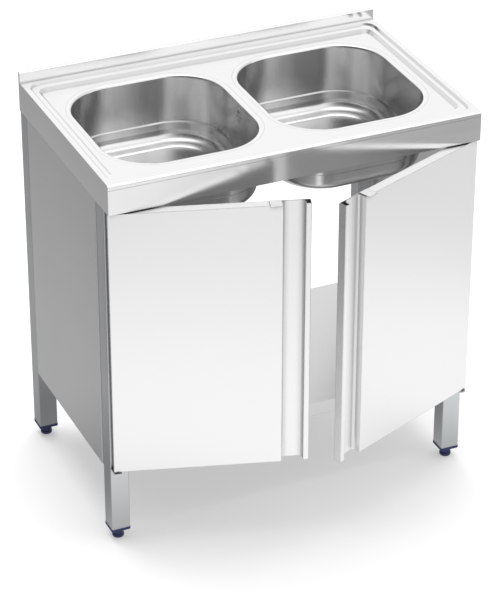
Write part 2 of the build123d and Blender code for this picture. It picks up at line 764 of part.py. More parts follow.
def door_fold(hand):
    """Section of the folded front sheet: hinge edge, face, finger channel and lip."""
    corners = (
        (0, DOOR_T),
        (0, 0),
        (CHANNEL_START, 0),
        (CHANNEL_START, CHANNEL_DEPTH),
        (CHANNEL_END, CHANNEL_DEPTH),
        (CHANNEL_END, LIP_SETBACK),
        (DOOR_W, LIP_SETBACK),
        (DOOR_W, DOOR_T),
    )
    bends = (FOLD_R, FOLD_R, CHANNEL_FACE_R, CHANNEL_LIP_R, FOLD_R, FOLD_R)
    with BuildSketch(door_plane(hand, DOOR_Z)) as section:
        with BuildLine():
            FilletPolyline(*[on_door(hand, *corner) for corner in corners], radius=bends)
            offset(amount=DOOR_SHEET, side=Side.LEFT if hand > 0 else Side.RIGHT)
        make_face()
    return section.sketch


for side, hand in (("left", 1), ("right", -1)):
    box_along = (DOOR_SHEET / 2, CHANNEL_START - DOOR_SHEET / 2)
    box_behind = (DOOR_SHEET / 2, DOOR_T - DOOR_SHEET)

    with BuildPart() as door_front:
        extrude(door_fold(hand), amount=DOOR_TOP_Z - DOOR_Z)
        for z in (DOOR_Z, DOOR_TOP_Z - DOOR_SHEET):
            extrude(door_rectangle(hand, z, box_along, box_behind), amount=DOOR_SHEET)
            extrude(
                door_ring(hand, z, BUSH_R + PIN_GAP), amount=DOOR_SHEET, mode=Mode.SUBTRACT
            )
    keep(door_front.part, f"door_{side}_front")

    with BuildPart() as door_back:
        extrude(
            door_rectangle(
                hand, DOOR_Z, (DOOR_SHEET, DOOR_W - DOOR_SHEET), (DOOR_T - DOOR_SHEET, DOOR_T)
            ),
            amount=DOOR_TOP_Z - DOOR_Z,
        )
    keep(door_back.part, f"door_{side}_back")

    with BuildPart() as door_core:
        margin = DOOR_SHEET + CORE_GAP
        extrude(
            door_rectangle(
                hand,
                DOOR_Z + margin,
                (PIVOT_IN + BUSH_R + CORE_GAP, CHANNEL_START - margin),
                (margin, DOOR_T - margin),
            ),
            amount=DOOR_TOP_Z - DOOR_Z - 2 * margin,
        )
    keep(door_core.part, f"door_{side}_core")

    with BuildPart() as door_lug:
        lug_end = CHANNEL_START - LUG_EDGE_GAP
        extrude(
            door_rectangle(
                hand, DOOR_TOP_Z, (lug_end - LUG_W, lug_end), (-LUG_OVERHANG, DOOR_T - LUG_BACK_GAP)
            ),
            amount=LUG_T,
        )
        fillet(door_lug.edges().filter_by(Axis.Z), LUG_CORNER_R)
    keep(door_lug.part, f"door_{side}_lug")

    with BuildPart() as door_bushes:
        extrude(door_ring(hand, DOOR_TOP_Z, BUSH_FLANGE_R), amount=BUSH_TOP_T)
        extrude(door_ring(hand, DOOR_TOP_Z, BUSH_R), amount=-BUSH_L)
        extrude(door_ring(hand, DOOR_Z, BUSH_FLANGE_R), amount=-BUSH_BOTTOM_T)
        extrude(door_ring(hand, DOOR_Z, BUSH_R), amount=BUSH_L)
        extrude(
            door_ring(hand, DOOR_Z - BUSH_BOTTOM_T, PIN_R + PIN_GAP),
            amount=DOOR_TOP_Z + BUSH_TOP_T - DOOR_Z + BUSH_BOTTOM_T,
            mode=Mode.SUBTRACT,
        )
    keep(door_bushes.part, f"door_{side}_bushes")

# ---------------------------------------------------------------- hinges


def hinge_plate(z):
    """Plate on the front of the left leg that holds a hinge pin."""
    with BuildPart() as plate:
        disc(PIVOT_X, PIVOT_Y, (z, z + BRACKET_T), BRACKET_R)
        block(
            (PIVOT_X - BRACKET_R, PIVOT_X + BRACKET_R),
            (PIVOT_Y, LEG_FRONT_Y - LEG / 2),
            (z, z + BRACKET_T),
        )
        disc(PIVOT_X, PIVOT_Y, (z, z + BRACKET_T), PIN_R + PIN_GAP, mode=Mode.SUBTRACT)
    return plate.part


keep_pair(hinge_plate(TOP_PLATE_Z), "hinge_bracket_top")
keep_pair(hinge_plate(BOTTOM_PLATE_Z), "hinge_bracket_bottom")

with BuildPart() as hinge_pins:
    for x in (PIVOT_X, -PIVOT_X):
        disc(x, PIVOT_Y, (DOOR_TOP_Z - PIN_L, TOP_PLATE_Z + BRACKET_T), PIN_R)
        disc(
            x,
            PIVOT_Y,
            (TOP_PLATE_Z + BRACKET_T, TOP_PLATE_Z + BRACKET_T + PIN_HEAD_H),
            PIN_HEAD_R,
        )
        disc(x, PIVOT_Y, (BOTTOM_PLATE_Z, DOOR_Z + PIN_L), PIN_R)
        disc(x, PIVOT_Y, (BOTTOM_PLATE_Z - PIN_HEAD_H, BOTTOM_PLATE_Z), PIN_HEAD_R)
keep(hinge_pins.part, "hinge_pins")

# ---------------------------------------------------------------- catches

with BuildPart() as catch_plate:
    block(
        (-CATCH_PLATE_W / 2, CATCH_PLATE_W / 2),
        (RAIL_FACE_Y - CATCH_PLATE_T, RAIL_FACE_Y),
        (CATCH_Z - CATCH_H / 2 - CATCH_PLATE_EDGE, PAN_UNDER_Z - CATCH_PLATE_EDGE),
    )
    with BuildSketch(Plane.XZ.offset(-RAIL_FACE_Y)):
        with Locations((0, RAIL_Z + RAIL_H / 2)):
            with GridLocations(RAIL_SCREW_SPAN, 1, 2, 1):
                Circle(SCREW_R + SCREW_GAP)
        with Locations((0, CATCH_Z)):
            with GridLocations(2 * CATCH_X, 1, 2, 1):
                Circle(SCREW_R + SCREW_GAP)
    extrude(amount=CATCH_PLATE_T, mode=Mode.SUBTRACT)
keep(catch_plate.part, "catch_plate")

with BuildPart() as catch:
    block(
        (-CATCH_X - CATCH_W / 2, -CATCH_X + CATCH_W / 2),
        (FRONT_Y + DOOR_SETBACK + DOOR_T + REST_GAP, RAIL_FACE_Y - CATCH_PLATE_T),
        (CATCH_Z - CATCH_H / 2, CATCH_Z + CATCH_H / 2),
    )
    fillet(catch.edges().filter_by(Axis.Y), CATCH_CORNER)
    with BuildSketch(Plane.XZ.offset(CATCH_PLATE_T - RAIL_FACE_Y)):
        with Locations((-CATCH_X, CATCH_Z)):
            Circle(SCREW_R + SCREW_GAP)
    extrude(amount=SCREW_L, mode=Mode.SUBTRACT)
keep_pair(catch.part, "catch")

with BuildPart() as catch_screws:
    for side in (-1, 1):
        screw(
            Plane(
                origin=(
                    side * RAIL_SCREW_SPAN / 2,
                    RAIL_FACE_Y - CATCH_PLATE_T,
                    RAIL_Z + RAIL_H / 2,
                ),
                z_dir=(0, -1, 0),
            ),
            SCREW_R,
            SCREW_L,
            SCREW_HEAD_R,
            SCREW_HEAD_H,
        )
        screw(
            Plane(origin=(side * CATCH_X, RAIL_FACE_Y, CATCH_Z), z_dir=(0, 1, 0)),
            SCREW_R,
            SCREW_L,
            SCREW_HEAD_R,
            SCREW_HEAD_H,
        )
keep(catch_screws.part, "catch_screws")
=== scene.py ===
"""Looks of the double-bowl sink unit: finishes, small fittings, light, floor and camera."""
import logging
import math
from collections.abc import Callable
from dataclasses import dataclass, fields
from enum import Enum

import bmesh
import bpy
from bpy.types import Material, Node, NodeTree, World
from bpy.types import NodeInputs as Inputs, NodeOutputs as Outputs, NodeSocket as Socket
from mathutils import Matrix, Vector


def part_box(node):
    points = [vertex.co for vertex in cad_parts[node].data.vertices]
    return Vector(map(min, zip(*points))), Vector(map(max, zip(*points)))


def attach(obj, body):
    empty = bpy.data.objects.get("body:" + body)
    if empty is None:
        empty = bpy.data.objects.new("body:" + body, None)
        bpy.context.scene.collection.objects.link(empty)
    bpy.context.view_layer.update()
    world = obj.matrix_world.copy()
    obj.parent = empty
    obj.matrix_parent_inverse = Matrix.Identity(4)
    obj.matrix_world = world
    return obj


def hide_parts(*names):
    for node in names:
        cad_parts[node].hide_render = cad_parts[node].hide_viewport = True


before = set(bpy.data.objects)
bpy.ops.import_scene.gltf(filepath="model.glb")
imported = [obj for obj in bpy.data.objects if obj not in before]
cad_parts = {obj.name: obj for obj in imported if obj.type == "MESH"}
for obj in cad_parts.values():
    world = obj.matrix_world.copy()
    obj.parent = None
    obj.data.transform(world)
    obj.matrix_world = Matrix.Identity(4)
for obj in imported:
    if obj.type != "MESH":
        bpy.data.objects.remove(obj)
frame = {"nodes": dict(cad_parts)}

Colour = tuple[float, float, float]
Point = tuple[float, float, float]
Span = tuple[float, ...]
RadiusAt = Callable[[float, float, float], float]
Outline = list[tuple[float, float]]
LOG = logging.getLogger("sink_unit")
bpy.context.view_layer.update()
MM = 0.001
ORIGIN = (0.0, 0.0, 0.0)
LOOK = "_look"
SHARP_ANGLE = math.radians(38)
MIX_COLOURS = (6, 7)  # places of the Mix node's two colour inputs
MIX_VALUES = (2, 3)  # places of its two value inputs
MIX_RESULT = 2  # place of its colour output
CLOUD_SHARE = 0.6
FLOW_SHARE = 0.6


# ---- node trees


class Graph:
    """Short way to place and link the nodes of one tree."""

    def __init__(self, tree: NodeTree) -> None:
        """Keep the tree that the nodes go into."""
        self.tree = tree

    def add(self, kind: str, **settings: object) -> Node:
        """Place a node and return it.

        Args:
            kind: Blender's name of the node type, without its ShaderNode prefix.
            settings: attributes of the node, or input sockets by name.
        """
        prefix = "" if kind.startswith("NodeGroup") else "ShaderNode"
        node = self.tree.nodes.new(prefix + kind)
        for name, value in settings.items():
            if hasattr(node, name):
                setattr(node, name, value)
            else:
                node.inputs[name.replace("_", " ")].default_value = value
        return node

    def feed(self, target: Socket, source: object) -> None:
        """Link a socket to a target, or set the target's value."""
        if isinstance(source, Socket):
            self.tree.links.new(source, target)
        elif source is not None:
            target.default_value = source

    def maths(self, operation: str, first: object, second: object = None,
              third: object = None) -> Socket:
        """Work out a value with a Math node and return its output."""
        node = self.add("Math", operation=operation)
        for socket, source in zip(node.inputs, (first, second, third)):
            self.feed(socket, source)
        return node.outputs[0]

    def product(self, first: object, second: object) -> Socket:
        """Multiply two values and return the result."""
        return self.maths("MULTIPLY", first, second)

    def vector(self, operation: str, first: object, second: object = None) -> Socket:
        """Work out a vector with a Vector Math node and return its output."""
        node = self.add("VectorMath", operation=operation)
        self.feed(node.inputs[0], first)
        self.feed(node.inputs[1], second)
        return node.outputs["Value" if operation == "DOT_PRODUCT" else "Vector"]

    def span(self, value: object, low: float, high: float, to_low: float = 0.0,
             to_high: float = 1.0, smooth: bool = False) -> Socket:
        """Map a value from one range to another, clamped, and return the result."""
        node = self.add("MapRange", interpolation_type="SMOOTHSTEP" if smooth else "LINEAR")
        for socket, source in zip(node.inputs, (value, low, high, to_low, to_high)):
            self.feed(socket, source)
        return node.outputs["Result"]

    def ramp(self, value: Socket, ends: Span) -> Socket:
        """Map a value smoothly from one end of a span to the other and return the result."""
        return self.span(value, *ends, smooth=True)

    def blend(self, factor: object, first: object, second: object) -> Socket:
        """Mix two colours and return the result."""
        node = self.add("Mix", data_type="RGBA")
        self.feed(node.inputs[0], factor)
        for place, colour in zip(MIX_COLOURS, (first, second)):
            whole = (*colour, 1.0) if isinstance(colour, tuple) else colour
            self.feed(node.inputs[place], whole)
        return node.outputs[MIX_RESULT]

    def parts(self, vector: Socket) -> Outputs:
        """Split a vector and return its outputs, found by the names X, Y and Z."""
        node = self.add("SeparateXYZ")
        self.feed(node.inputs[0], vector)
        return node.outputs

    def centred(self, noise: Socket) -> Socket:
        """Shift a noise so that its middle is 0."""
        return self.maths("SUBTRACT", noise, 0.5)

    def noise(self, vector: object, scale: float, detail: float = 2.0,
              rough: float = 0.5) -> Socket:
        """Noise between 0 and 1 at a vector, and return its value."""
        node = self.add("TexNoise", Scale=scale, Detail=detail, Roughness=rough)
        self.feed(node.inputs["Vector"], vector)
        return node.outputs["Fac"]


def emptied(owner: Material | World) -> Graph:
    """Empty the nodes of a material or of the world and return its graph."""
    owner.use_nodes = True
    owner.node_tree.nodes.clear()
    return Graph(owner.node_tree)


def effect_group(name: str, inputs: dict[str, object],
                 *outputs: str) -> tuple[Graph, Outputs, Inputs]:
    """Start a shader node group with named sockets.

    Args:
        name: name of the group.
        inputs: default of each input by name, a number or a vector.
        outputs: name of each output, which is a number.

    Returns:
        The group's graph, what it is given and what it puts out, each by name.
    """
    tree = bpy.data.node_groups.new(name, "ShaderNodeTree")
    for label, value in inputs.items():
        kind = "NodeSocketFloat" if isinstance(value, float) else "NodeSocketVector"
        socket = tree.interface.new_socket(label, in_out="INPUT", socket_type=kind)
        socket.default_value = value
    for label in outputs:
        tree.interface.new_socket(label, in_out="OUTPUT", socket_type="NodeSocketFloat")
    graph = Graph(tree)
    return graph, graph.add("NodeGroupInput").outputs, graph.add("NodeGroupOutput").inputs


def grain_group() -> NodeTree:
    """Brushed or drawn grain: a shade, a roughness change and a height of long scratches."""
    inputs = {"Point": ORIGIN, "Stretch": (1.0, 1.0, 1.0), "Band": 1.0}
    graph, given, put = effect_group("DrawnGrain", inputs, "Shade", "Roughness", "Height")
    along = graph.vector("MULTIPLY", given["Point"], given["Stretch"])
    fine = graph.noise(along, scale=900.0, detail=3.0, rough=0.6)
    band = graph.centred(graph.noise(along, scale=130.0))
    cloud = graph.centred(graph.noise(given["Point"], scale=5.0))
    drift = graph.product(band, given["Band"])
    level = graph.maths("ADD", graph.centred(fine), drift)
    soft = graph.product(cloud, CLOUD_SHARE)
    graph.feed(put["Shade"], graph.maths("MULTIPLY_ADD", level, 0.5, 0.5))
    graph.feed(put["Roughness"], graph.maths("ADD", level, soft))
    graph.feed(put["Height"], fine)
    return graph.tree


def sharp_edge_group() -> NodeTree:
    """Sharp edges, for rubbed wear and scuffs and for painted shade lines along folds: a mask that
    is 1 on a sharp outer edge and 0 on a flat face.
    """
    inputs = {"Reach": 0.001, "Point": ORIGIN}
    graph, given, put = effect_group("SharpEdge", inputs, "Mask")
    rounded = graph.add("Bevel", samples=4)
    graph.feed(rounded.inputs["Radius"], given["Reach"])
    flat = graph.add("NewGeometry").outputs["Normal"]
    turn = graph.vector("DOT_PRODUCT", rounded.outputs["Normal"], flat)
    bent = graph.span(graph.maths("SUBTRACT", 1.0, turn), low=0.008, high=0.12)
    patches = graph.noise(given["Point"], scale=60.0, detail=3.0)
    broken = graph.span(patches, low=0.3, high=0.7, to_low=0.4, to_high=1.0)
    graph.feed(put["Mask"], graph.product(bent, broken))
    return graph.tree


def smudge_group() -> NodeTree:
    """Faint wipe marks and water stains: a mask over the whole surface."""
    graph, given, put = effect_group("WipeMark", {"Point": ORIGIN}, "Mask")
    large = graph.add("TexNoise", Scale=5.0, Detail=3.0, Roughness=0.55, Distortion=0.8)
    graph.feed(large.inputs["Vector"], given["Point"])
    drops = graph.add("TexVoronoi", feature="SMOOTH_F1", Scale=38.0)
    graph.feed(drops.inputs["Vector"], given["Point"])
    stain = graph.span(drops.outputs["Distance"], low=0.1, high=0.5, to_low=1.0, to_high=0.75)
    wipe = graph.span(large.outputs["Fac"], low=0.42, high=0.68, smooth=True)
    graph.feed(put["Mask"], graph.product(wipe, stain))
    return graph.tree


def corner_dust_and_shade_group() -> NodeTree:
    """Dust and painted shade in inner corners and hollows: a mask from the room around each point.
    """
    graph, given, put = effect_group("CornerDustAndShade", {"Reach": 0.02}, "Mask")
    hollow = graph.add("AmbientOcclusion", samples=4)
    graph.feed(hollow.inputs["Distance"], given["Reach"])
    closed = graph.span(hollow.outputs["AO"], low=0.45, high=0.95, to_low=1.0, to_high=0.0)
    graph.feed(put["Mask"], closed)
    return graph.tree


def mould_group() -> NodeTree:
    """Skin of moulded plastic or rubber: fine orange peel, flow marks and tone."""
    inputs = {"Point": ORIGIN}
    graph, given, put = effect_group("MouldedSkin", inputs, "Tone", "Roughness", "Height")
    peel = graph.noise(given["Point"], scale=1400.0)
    flow = graph.noise(given["Point"], scale=90.0, detail=3.0)
    speckle = graph.product(peel, 1.0 - FLOW_SHARE)
    graph.feed(put["Tone"], graph.maths("MULTIPLY_ADD", flow, FLOW_SHARE, speckle))
    graph.feed(put["Roughness"], graph.centred(flow))
    graph.feed(put["Height"], peel)
    return graph.tree


def streak_group() -> NodeTree:
    """Broad soft streaks drawn down a wall: a mask between 0 and 1."""
    graph, given, put = effect_group("DrawnStreak", {"Point": ORIGIN}, "Mask")
    upright = graph.vector("MULTIPLY", given["Point"], (1.0, 1.0, 0.06))
    broad = graph.noise(upright, scale=12.0, detail=2.5, rough=0.55)
    graph.feed(put["Mask"], graph.span(broad, low=0.36, high=0.66, smooth=True))
    return graph.tree


def inside_box(graph: Graph, given: Outputs, point: Socket, mask: Socket) -> Socket:
    """Keep a mask where a point lies between a group's Low and High corners."""
    place, low, high = (graph.parts(spot) for spot in (point, given["Low"], given["High"]))
    for axis in "XYZ":
        above = graph.maths("GREATER_THAN", place[axis], low[axis])
        below = graph.maths("LESS_THAN", place[axis], high[axis])
        mask = graph.product(mask, graph.product(above, below))
    return mask


def box_group(name: str) -> tuple[Graph, Outputs, Inputs]:
    """Start a mask group that works between two corners, as effect_group does."""
    inputs = {"Point": ORIGIN, "Low": ORIGIN, "High": (1.0, 1.0, 1.0)}
    return effect_group(name, inputs, "Mask")


def punch_group() -> NodeTree:
    """Cut walls of holes punched along x, where shade is painted: a mask in a box and its mirror
    images.
    """
    graph, given, put = box_group("PunchedHole")
    facing = graph.parts(graph.add("NewGeometry").outputs["True Normal"])["X"]
    mask = graph.span(graph.maths("ABSOLUTE", facing), low=0.7, high=0.3)
    mirrored = graph.vector("ABSOLUTE", given["Point"])
    graph.feed(put["Mask"], inside_box(graph, given, mirrored, mask))
    return graph.tree


def slope_group() -> NodeTree:
    """Slopes of a pressed top, where shade is painted: a mask that is 1 where the face tilts
    inside a box.
    """
    graph, given, put = box_group("PressedSlope")
    level = graph.parts(graph.add("NewGeometry").outputs["True Normal"])["Z"]
    mask = graph.span(graph.maths("ABSOLUTE", level), low=0.985, high=0.90)
    graph.feed(put["Mask"], inside_box(graph, given, given["Point"], mask))
    return graph.tree


class Effects:
    """The shared effects, each built once."""

    grain = grain_group()
    wear = sharp_edge_group()
    smudge = smudge_group()
    nook = corner_dust_and_shade_group()
    mould = mould_group()
    streak = streak_group()
    punch = punch_group()
    slope = slope_group()


# ---- finishes


class Grain(Enum):
    """Direction of a steel's drawn grain, as the stretch of its pattern along x, y and z."""

    ALONG_X = (0.02, 1.0, 1.0)
    ALONG_Z = (1.0, 1.0, 0.02)
    TURNED = (1.0, 1.0, 0.3)


def grey(level: float) -> Colour:
    """Neutral colour of one level."""
    return (level, level, level)


def scaled(tone: Colour, share: float) -> Colour:
    """Colour times a share, with no channel over 1."""
    return tuple(min(1.0, channel * share) for channel in tone)


def start_material(name: str) -> tuple[Graph, Node, Socket]:
    """Start a slot's node material and return its graph, shader and point on the piece."""
    graph = emptied(bpy.data.materials.new(name + LOOK))
    shader = graph.add("BsdfPrincipled")
    graph.feed(graph.add("OutputMaterial").inputs["Surface"], shader.outputs["BSDF"])
    return graph, shader, graph.add("TexCoord").outputs["Object"]


def place_effect(graph: Graph, group: NodeTree, **inputs: object) -> Outputs:
    """Place a shared effect in a material, with its own values, and return its outputs."""
    node = graph.add("Group")
    node.node_tree = group
    for name, value in inputs.items():
        graph.feed(node.inputs[name], value)
    return node.outputs


@dataclass(frozen=True)
class Steel:
    """Stainless steel with a drawn grain, edges with painted shade lines or rubbed bright, wipe
    marks and dust with painted shade in corners.

    The edge tone is under 1 where a fold gets a thin painted shade line, and over 1 where it is
    rubbed bright. Each roughness below the first is what one effect adds to it.
    """

    name: str
    tone: Colour
    roughness: float
    grain: Grain
    depth: float = 0.00001
    bump: float = 0.35
    band: float = 0.6
    contrast: float = 0.10
    spread: float = 1.0
    grain_roughness: float = 0.08
    wipe_roughness: float = 0.05
    dust: float = 0.35
    dust_tone: float = 0.3
    dust_roughness: float = 0.15
    reach: float = 0.02
    edge_tone: float = 1.15
    edge_share: float = 0.9
    edge_reach: float = 0.0012
    edge_roughness: float = -0.05

    def grained(self, graph: Graph, point: Socket, tone: Colour,
                grain: Grain) -> tuple[Socket, Outputs]:
        """Grain a tone in one direction and return its colour and the grain's outputs."""
        effect = place_effect(
            graph, Effects.grain, Point=point, Stretch=grain.value, Band=self.band
        )
        low, high = scaled(tone, 1 - self.contrast), scaled(tone, 1 + self.contrast)
        return graph.blend(effect["Shade"], low, high), effect

    def formed(self, graph: Graph, point: Socket, colour: Socket) -> tuple[Socket, object]:
        """Colour and roughness that the forming leaves: on plain sheet, its own."""
        return colour, self.roughness

    def punched(self, graph: Graph, point: Socket, colour: Socket) -> Socket:
        """Colour with any painted shade on punched holes: on plain sheet, as it comes."""
        return colour

    def material(self) -> Material:
        """Build the node material and return it."""
        graph, shader, point = start_material(self.name)
        colour, grain = self.grained(graph, point, self.tone, self.grain)
        colour, rough = self.formed(graph, point, colour)
        wear = place_effect(graph, Effects.wear, Reach=self.edge_reach, Point=point)
        smudge = place_effect(graph, Effects.smudge, Point=point)
        nook = place_effect(graph, Effects.nook, Reach=self.reach)
        shade = graph.product(nook["Mask"], self.dust)
        edge_mark = graph.product(wear["Mask"], self.edge_share)
        # dust, together with painted shade from the occlusion mask, darkens the corners
        colour = graph.blend(shade, colour, scaled(self.tone, self.dust_tone))
        # painted shade line along sharp folds where edge_tone is under 1; rubbed bright wear where
        # it is over 1
        colour = graph.blend(edge_mark, colour, scaled(self.tone, self.edge_tone))
        # painted shade on the cut walls of punched holes
        colour = self.punched(graph, point, colour)
        for effect, change in (
            (grain["Roughness"], self.grain_roughness * self.spread),
            (smudge["Mask"], self.wipe_roughness * self.spread),
            (shade, self.dust_roughness),
            (edge_mark, self.edge_roughness),
        ):
            rough = graph.maths("MULTIPLY_ADD", effect, change, rough)
        shader.inputs["Metallic"].default_value = 1.0
        return joined(self, graph, shader, colour, rough, grain["Height"])


@dataclass(frozen=True)
class PressedSteel(Steel):
    """Steel of the worktop, with painted shade on the slopes of its pressed steps."""

    slope_tone: float = 0.82
    slope_low: Point = (-0.394, -0.1725, 0.8285)
    slope_high: Point = (0.394, 0.3125, 0.8399)

    def formed(self, graph: Graph, point: Socket, colour: Socket) -> tuple[Socket, object]:
        """Paint shade on the slopes and return the colour and the roughness."""
        slope = place_effect(
            graph, Effects.slope, Point=point, Low=self.slope_low, High=self.slope_high
        )
        slope_shade = scaled(self.tone, self.slope_tone)
        return graph.blend(slope["Mask"], colour, slope_shade), self.roughness


@dataclass(frozen=True)
class DrawnSteel(Steel):
    """Steel of the bowls: streaked walls, a floor painted lighter as if lit more, a brighter rim,
    and painted shade on the cut walls of the holes.

    The streak share is how much of the plain colour stays in a streak. The floor's tone fades
    in on both sides of its height, and the rim's just below its height.
    """

    streak: float = 0.34
    streak_share: float = 0.35
    floor_z: float = 0.700
    floor_fade: float = 0.012
    # painted light: the bowl floor is the same steel as the walls, made lighter as if lit more
    floor_tone: Colour = grey(0.74)
    rim_z: float = 0.8290
    rim_fade: float = 0.0012
    rim_tone: Colour = grey(0.81)
    rim_roughness: float = 0.16
    punch_tone: float = 0.03
    punch_low: Point = (0.0, 0.045, 0.775)
    punch_high: Point = (0.030, 0.095, 0.825)

    def formed(self, graph: Graph, point: Socket, colour: Socket) -> tuple[Socket, object]:
        """Add the streaks, the painted-light floor and the rim, and return the colour and the
        roughness.
        """
        streaks = place_effect(graph, Effects.streak, Point=point)
        light = graph.blend(self.streak_share, scaled(self.tone, 1 + self.streak), colour)
        colour = graph.blend(streaks["Mask"], colour, light)
        height = graph.parts(point)["Z"]
        above, below = self.floor_z + self.floor_fade, self.floor_z - self.floor_fade
        floor = graph.span(height, above, below, smooth=True)
        rim = graph.span(height, self.rim_z - self.rim_fade, self.rim_z, smooth=True)
        # painted light on the floor, which is the same steel as the walls
        for mask, tone in ((floor, self.floor_tone), (rim, self.rim_tone)):
            brushed, _ = self.grained(graph, point, tone, Grain.ALONG_X)
            colour = graph.blend(mask, colour, brushed)
        return colour, graph.span(rim, 0.0, 1.0, self.roughness, self.rim_roughness)

    def punched(self, graph: Graph, point: Socket, colour: Socket) -> Socket:
        """Paint shade on the cut walls of the overflow holes and return the colour."""
        holes = place_effect(
            graph, Effects.punch, Point=point, Low=self.punch_low, High=self.punch_high
        )
        return graph.blend(holes["Mask"], colour, scaled(self.tone, self.punch_tone))


@dataclass(frozen=True)
class Moulded:
    """Moulded plastic or rubber with an orange-peel skin, scuffed edges, and dust with painted
    shade in corners and hollows.
    """

    name: str
    tone: Colour
    roughness: float
    flow_tone: float = 0.2
    flow_roughness: float = 0.15
    depth: float = 0.00004
    bump: float = 0.5
    scuff: float = 0.35
    scuff_level: float = 0.55
    scuff_share: float = 0.35
    scuff_roughness: float = 0.2
    edge_reach: float = 0.0009
    reach: float = 0.01
    hollow: float = 0.5
    dust: float = 0.4

    def material(self) -> Material:
        """Build the node material and return it."""
        graph, shader, point = start_material(self.name)
        skin = place_effect(graph, Effects.mould, Point=point)
        wear = place_effect(graph, Effects.wear, Reach=self.edge_reach, Point=point)
        nook = place_effect(graph, Effects.nook, Reach=self.reach)
        low, high = scaled(self.tone, 1 - self.flow_tone), scaled(self.tone, 1 + self.flow_tone)
        pale = tuple(c + (self.scuff_level - c) * self.scuff_share for c in self.tone)
        edge_mark = graph.product(wear["Mask"], self.scuff)
        shade = graph.product(nook["Mask"], self.dust)
        colour = graph.blend(skin["Tone"], low, high)
        colour = graph.blend(edge_mark, colour, pale)
        # dust, together with painted shade from the occlusion mask, darkens corners and hollows to
        # the hollow tone
        colour = graph.blend(shade, colour, scaled(self.tone, self.hollow))
        flow = skin["Roughness"]
        rough = graph.maths("MULTIPLY_ADD", flow, self.flow_roughness, self.roughness)
        rough = graph.maths("MULTIPLY_ADD", edge_mark, self.scuff_roughness, rough)
        return joined(self, graph, shader, colour, rough, skin["Height"])


def joined(finish: Steel | Moulded, graph: Graph, shader: Node, colour: Socket, rough: Socket,
           height: Socket) -> Material:
    """Join a finish's colour, roughness and relief to its shader and return its material."""
    relief = graph.add("Bump", Strength=finish.bump, Distance=finish.depth)
    graph.feed(relief.inputs["Height"], height)
    graph.feed(shader.inputs["Base Color"], colour)
    graph.feed(shader.inputs["Roughness"], rough)
    graph.feed(shader.inputs["Normal"], relief.outputs["Normal"])
    return bpy.data.materials[finish.name + LOOK]


@dataclass(frozen=True)
class Finishes:
    """Every finish of the unit, by what it is put on."""

    worktop: Steel = PressedSteel(
        "worktop_steel", grey(0.81), 0.18, Grain.ALONG_X, depth=0.000005, contrast=0.05,
        dust=0.5, reach=0.006, edge_tone=0.55,
    )
    bowl: Steel = DrawnSteel(
        "bowl_steel", grey(0.61), 0.23, Grain.ALONG_Z, depth=0.000005, contrast=0.04,
        spread=0.4, dust=0.5, reach=0.012, edge_tone=0.12, edge_reach=0.0014,
    )
    plate: Steel = Steel(
        "outlet_steel", grey(0.62), 0.18, Grain.TURNED, dust=0.6, reach=0.006,
    )
    door: Steel = Steel(
        "door_steel", grey(0.79), 0.26, Grain.ALONG_Z, depth=0.000001, contrast=0.012,
        spread=0.2, dust=0.85, reach=0.014, edge_tone=0.20, edge_reach=0.0020,
    )
    lug: Steel = Steel(
        "lug_steel", grey(0.74), 0.26, Grain.ALONG_X, depth=0.000002, contrast=0.02,
        dust=1.0, reach=0.008, edge_tone=0.15, edge_reach=0.0022,
    )
    lining: Steel = Steel("lining_steel", grey(0.88), 0.38, Grain.ALONG_Z, edge_tone=0.8)
    panel: Steel = Steel(
        "panel_steel", grey(0.79), 0.34, Grain.ALONG_Z, depth=0.000004, contrast=0.04,
        spread=0.5, edge_tone=0.6,
    )
    leg: Steel = Steel(
        "frame_steel", (0.58, 0.595, 0.605), 0.30, Grain.ALONG_Z, depth=0.000005,
        contrast=0.05, edge_tone=1.3,
    )
    rail: Steel = Steel("rail_steel", (0.56, 0.57, 0.58), 0.32, Grain.ALONG_X)
    shelf: Steel = Steel(
        "shelf_steel", grey(0.62), 0.32, Grain.ALONG_X, depth=0.000005, contrast=0.05,
        edge_tone=0.7,
    )
    fixing: Steel = Steel("fixing_steel", (0.62, 0.62, 0.63), 0.28, Grain.TURNED)
    cap: Moulded = Moulded("navy_plastic", (0.014, 0.020, 0.10), 0.40, scuff=0.15)
    seal: Moulded = Moulded("seal_rubber", grey(0.02), 0.6)
    # painted shade: the occlusion mask darkens the inside of the hollow outlet body
    outlet: Moulded = Moulded(
        "pale_plastic", (0.72, 0.72, 0.70), 0.38, reach=0.03, hollow=0.06, dust=0.95,
    )
    pipe: Moulded = Moulded("pipe_plastic", (0.60, 0.60, 0.59), 0.45)
    catch: Moulded = Moulded("black_plastic", (0.025, 0.025, 0.027), 0.45)
    bush: Moulded = Moulded("bush_plastic", (0.12, 0.125, 0.135), 0.5)
    board: Moulded = Moulded("core_board", (0.55, 0.45, 0.32), 0.8)


FINISH_BY_NODE: dict[str, str] = {
    "worktop": "worktop", "bowl": "bowl", "waste_plate": "plate", "waste_gasket": "seal",
    "waste_body": "outlet", "waste_screws": "fixing", "overflow_head": "outlet",
    "overflow_pipe": "pipe", "leg": "leg", "insert": "cap", "foot": "cap",
    "rail_front": "rail", "rail_rear": "rail", "rail": "leg", "side_panel": "panel",
    "shelf_screws": "fixing", "shelf": "shelf", "hinge": "fixing", "catch_plate": "fixing",
    "catch_screws": "fixing", "catch": "catch",
}
DOOR_FINISH: dict[str, str] = {
    "front": "door", "back": "lining", "lug": "lug", "core": "board", "bushes": "bush",
}


